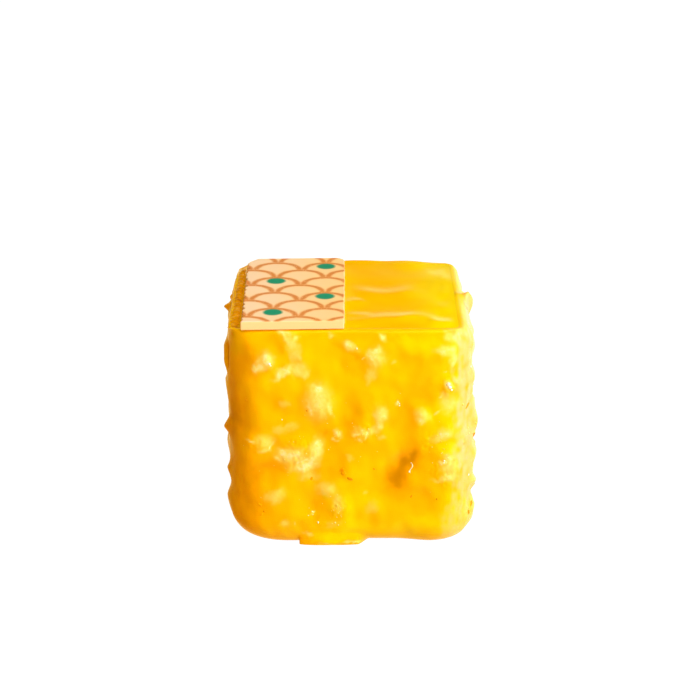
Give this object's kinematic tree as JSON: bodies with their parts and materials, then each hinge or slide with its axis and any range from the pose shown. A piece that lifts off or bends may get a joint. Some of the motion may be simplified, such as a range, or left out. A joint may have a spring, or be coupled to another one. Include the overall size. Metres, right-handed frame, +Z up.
{
  "type": "petit four",
  "caption": "Small apricot cube cake in a lumpy yellow icing with chopped nuts, with a smooth glazed top and a thin white chocolate plaque on it.",
  "frame": {"origin": "middle of the cake's flat underside", "axes": "+Z up from the underside; -Y out of the front face, which has the small foot of icing; +X to the front's right"},
  "size_m": [0.0344, 0.0339, 0.032],
  "materials": {
    "nut_icing": "glossy deep yellow icing over chopped nuts, paler where the nuts stand out",
    "glaze": "smooth wet-looking apricot yellow glaze",
    "white_chocolate": "satin cream white chocolate with plain scallops and dots printed in cocoa butter"
  },
  "bodies": {
    "root": {"coated_cake": "nut_icing", "apricot_glaze": "glaze", "chocolate_plaque": "white_chocolate"}
  },
  "joints": []
}
